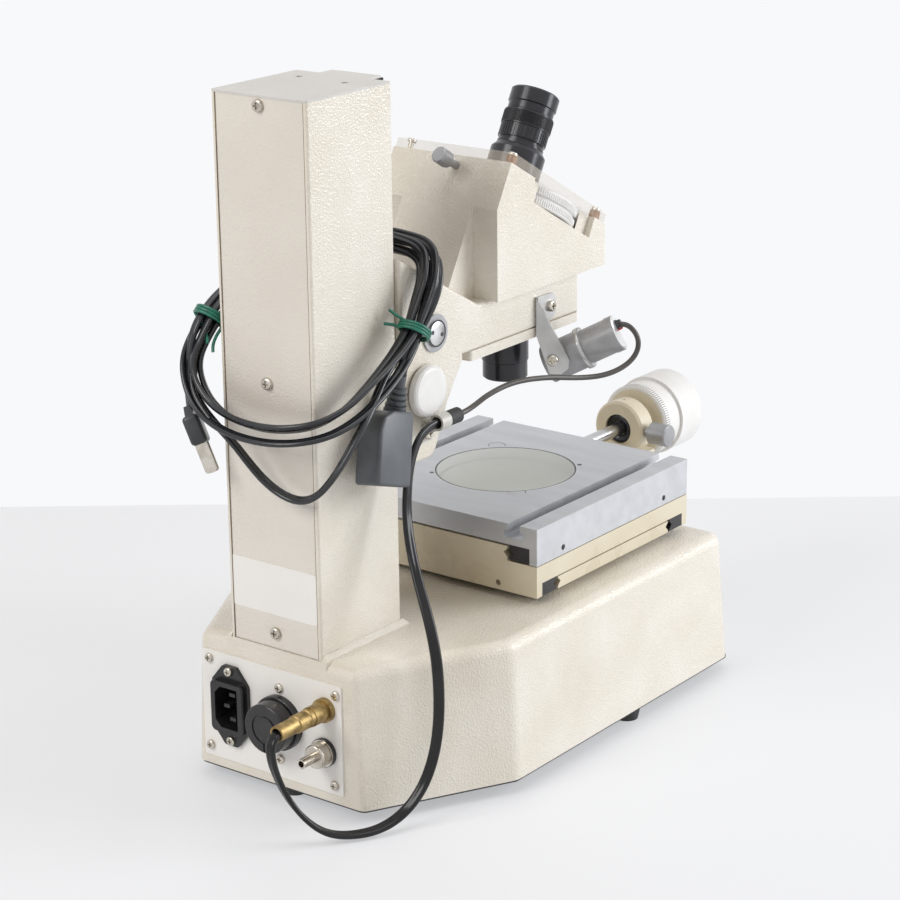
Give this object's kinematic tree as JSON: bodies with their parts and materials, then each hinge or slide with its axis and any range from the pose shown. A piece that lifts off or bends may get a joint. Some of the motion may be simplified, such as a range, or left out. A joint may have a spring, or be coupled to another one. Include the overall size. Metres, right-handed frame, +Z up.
{
  "type": "toolmakers microscope",
  "caption": "Measuring microscope: crossed-roller stage with micrometer drums, rack-focused head on a column, angle dial, inclined eyepiece.",
  "frame": {"origin": "where the optical axis of the objective, which is also the centre of the stage at rest, meets the table under the feet", "axes": "+Z up along the optical axis and the column; +X to the user's right, along the X micrometer; +Y from the user to the column; the user sits on the -Y side"},
  "size_m": [0.2755, 0.4308, 0.379],
  "materials": {
    "cream_paint": "cream hammered enamel",
    "grey_paint": "grey-beige enamel",
    "white_paint": "smooth white enamel",
    "ground_steel": "ground, faintly blue-grey",
    "rail_steel": "fine ground",
    "bright_steel": "machined",
    "black_steel": "blackened",
    "satin_chrome": "satin chrome",
    "nickel": "nickel plate",
    "brass": "turned",
    "black_aluminium": "black anodised",
    "white_aluminium": "white enamel",
    "glass": "polished, faint green edge",
    "lens": "polished",
    "acrylic": "clear, polished edges",
    "black_plastic": "moulded",
    "grey_plastic": "moulded, dark grey-blue",
    "white_plastic": "nylon",
    "black_rubber": "moulded",
    "cord_black": "round sheath",
    "cord_grey": "round sheath"
  },
  "bodies": {
    "base": {"base_casting": "cream_paint", "bottom_plate": "black_steel", "rubber_feet": "black_rubber", "connector_panel": "white_paint", "power_inlet": "black_plastic", "fuse_holder": "black_plastic", "lamp_socket": "brass", "ground_post": "nickel", "switch_frame": "black_plastic", "column_casting": "cream_paint", "column_cover": "cream_paint", "column_top_plate": "grey_paint", "case_screws": "nickel", "guide_rail": "black_steel", "rack": "bright_steel", "stage_base": "ground_steel", "condenser_lens": "lens", "x_bracket": "black_steel", "x_sleeve": "satin_chrome", "lamp_plug": "brass", "lamp_cable": "cord_black"},
    "x_cage": {"x_way_rollers": "bright_steel"},
    "saddle": {"saddle": "ground_steel", "x_way_rails": "rail_steel", "y_bracket": "black_steel", "y_sleeve": "satin_chrome"},
    "y_cage": {"y_way_rollers": "bright_steel"},
    "stage": {"stage_top": "ground_steel", "stage_glass": "glass", "y_way_rails": "rail_steel"},
    "y_spindle": {"y_spindle": "bright_steel"},
    "y_drum": {"y_thimble": "satin_chrome"},
    "y_lock": {"y_lock_screw": "bright_steel"},
    "x_spindle": {"x_spindle": "bright_steel"},
    "x_drum": {"x_thimble": "satin_chrome"},
    "x_lock": {"x_lock_screw": "bright_steel"},
    "head": {"head_casting": "cream_paint", "objective_plate": "cream_paint", "objective": "black_aluminium", "dial_cover": "acrylic", "head_screws": "nickel", "eyepiece_tube": "black_aluminium", "bearing_caps": "black_aluminium", "lamp_bracket": "black_steel", "cable_sleeve": "black_rubber", "cord_clip": "white_plastic", "power_hank": "cord_grey", "power_tail": "cord_grey", "power_connector": "grey_plastic", "power_plug": "black_plastic"},
    "dial": {"angle_dial": "satin_chrome"},
    "diopter": {"diopter_ring": "black_aluminium"},
    "dial_clamp": {"dial_clamp_screw": "satin_chrome"},
    "focus_shaft": {"pinion_shaft": "bright_steel", "focus_knobs": "white_aluminium"},
    "lamp": {"lamp_housing": "black_aluminium", "lamp_lead": "cord_black"},
    "fuse": {"fuse_cap": "black_plastic"},
    "earth_nut": {"ground_nut": "nickel"},
    "rocker": {"power_rocker": "black_plastic"}
  },
  "joints": [
    {"name": "stage_x", "type": "slide", "parent": "base", "child": "saddle", "axis": [1, 0, 0], "range_m": [-0.006, 0.019]},
    {"name": "stage_y", "type": "slide", "parent": "saddle", "child": "stage", "axis": [0, 1, 0], "range_m": [-0.019, 0.006]},
    {"name": "x_cage_slide", "type": "slide", "parent": "base", "child": "x_cage", "axis": [1, 0, 0], "range_m": [-0.0035, 0.01]},
    {"name": "y_cage_slide", "type": "slide", "parent": "saddle", "child": "y_cage", "axis": [0, 1, 0], "range_m": [-0.01, 0.0035]},
    {"name": "x_spindle_slide", "type": "slide", "parent": "base", "child": "x_spindle", "axis": [1, 0, 0], "range_m": [-0.0065, 0.0195]},
    {"name": "x_drum_turn", "type": "hinge", "parent": "x_spindle", "child": "x_drum", "pos_m": [0.15, 0, 0.103], "axis": [1, 0, 0], "range_deg": [-2200, 6880]},
    {"name": "x_lock_turn", "type": "hinge", "parent": "base", "child": "x_lock", "pos_m": [0.1228, -0.025, 0.103], "axis": [0, -1, 0], "range_deg": [-180, 180]},
    {"name": "y_spindle_slide", "type": "slide", "parent": "saddle", "child": "y_spindle", "axis": [0, 1, 0], "range_m": [-0.0195, 0.0065]},
    {"name": "y_drum_turn", "type": "hinge", "parent": "y_spindle", "child": "y_drum", "pos_m": [0, -0.15, 0.124], "axis": [0, 1, 0], "range_deg": [-6880, 2200]},
    {"name": "y_lock_turn", "type": "hinge", "parent": "saddle", "child": "y_lock", "pos_m": [-0.025, -0.1228, 0.124], "axis": [-1, 0, 0], "range_deg": [-180, 180]},
    {"name": "head_focus", "type": "slide", "parent": "base", "child": "head", "axis": [0, 0, 1], "range_m": [-0.015, 0.08], "deforming": ["lamp_cable"]},
    {"name": "focus_turn", "type": "hinge", "parent": "head", "child": "focus_shaft", "pos_m": [0, 0.1201, 0.2127], "axis": [1, 0, 0], "range_deg": [-730, 140]},
    {"name": "dial_turn", "type": "hinge", "parent": "head", "child": "dial", "pos_m": [0, 0.00111, 0.28733], "axis": [0, -0.4909, 0.8712], "continuous": true},
    {"name": "diopter_turn", "type": "hinge", "parent": "head", "child": "diopter", "pos_m": [0, -0.02245, 0.32914], "axis": [0, -0.4909, 0.8712], "range_deg": [-135, 135]},
    {"name": "dial_clamp_turn", "type": "hinge", "parent": "head", "child": "dial_clamp", "pos_m": [-0.0051, 0.05109, 0.31779], "axis": [0, 0.8712, 0.4909], "range_deg": [-90, 90]},
    {"name": "lamp_tilt", "type": "hinge", "parent": "head", "child": "lamp", "pos_m": [-0.04321, 0.01405, 0.206], "axis": [-0.4509, 0.8926, 0], "range_deg": [-15, 15]},
    {"name": "fuse_cap_turn", "type": "hinge", "parent": "base", "child": "fuse", "pos_m": [-0.003, 0.215, 0.046], "axis": [0, 1, 0], "range_deg": [-90, 0]},
    {"name": "earth_nut_turn", "type": "hinge", "parent": "base", "child": "earth_nut", "pos_m": [-0.033, 0.215, 0.0365], "axis": [0, 1, 0], "range_deg": [-360, 360]},
    {"name": "power_switch", "type": "hinge", "parent": "base", "child": "rocker", "pos_m": [0.062, -0.08901, 0.046], "axis": [0, 0.0523, 0.9986], "range_deg": [-8, 8]}
  ],
  "couplings": [
    {"joint": "x_cage_slide", "follows": "stage_x", "ratio": 0.5},
    {"joint": "y_cage_slide", "follows": "stage_y", "ratio": 0.5},
    {"joint": "x_spindle_slide", "follows": "stage_x", "ratio": 1},
    {"joint": "x_drum_turn", "follows": "stage_x", "rad_per_m": 6283.2},
    {"joint": "y_spindle_slide", "follows": "stage_y", "ratio": 1},
    {"joint": "y_drum_turn", "follows": "stage_y", "rad_per_m": 6283.2},
    {"joint": "focus_turn", "follows": "head_focus", "rad_per_m": -156.25}
  ]
}
